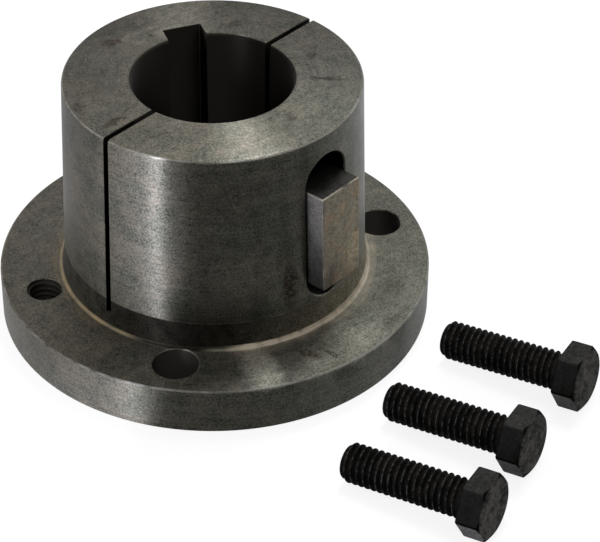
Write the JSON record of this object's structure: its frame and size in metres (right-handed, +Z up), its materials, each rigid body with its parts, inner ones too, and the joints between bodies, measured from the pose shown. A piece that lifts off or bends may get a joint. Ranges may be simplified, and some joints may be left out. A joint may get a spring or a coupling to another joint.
{
  "type": "quick disconnect bushing",
  "caption": "Tapered split bushing with a bolt-on flange and a barrel key, which clamps a sprocket or pulley hub to a keyed shaft; its loose cap screws lie beside it.",
  "frame": {"origin": "on the surface that the set lies on, under the middle of the set's footprint", "axes": "+Z up the bore from the flange's back face to the small end; -Y from the bushing to its key and on to the screws; the two slits lie along X"},
  "size_m": [0.1048, 0.1578, 0.0635],
  "materials": {
    "cast_iron": "fine turned, lightly oiled and stained",
    "key_steel": "drawn bar",
    "black_oxide_steel": "black oxide, satin"
  },
  "bodies": {
    "root": {"bushing": "cast_iron", "barrel_key": "key_steel", "cap_screw_1": "black_oxide_steel", "cap_screw_2": "black_oxide_steel", "cap_screw_3": "black_oxide_steel"}
  },
  "joints": []
}
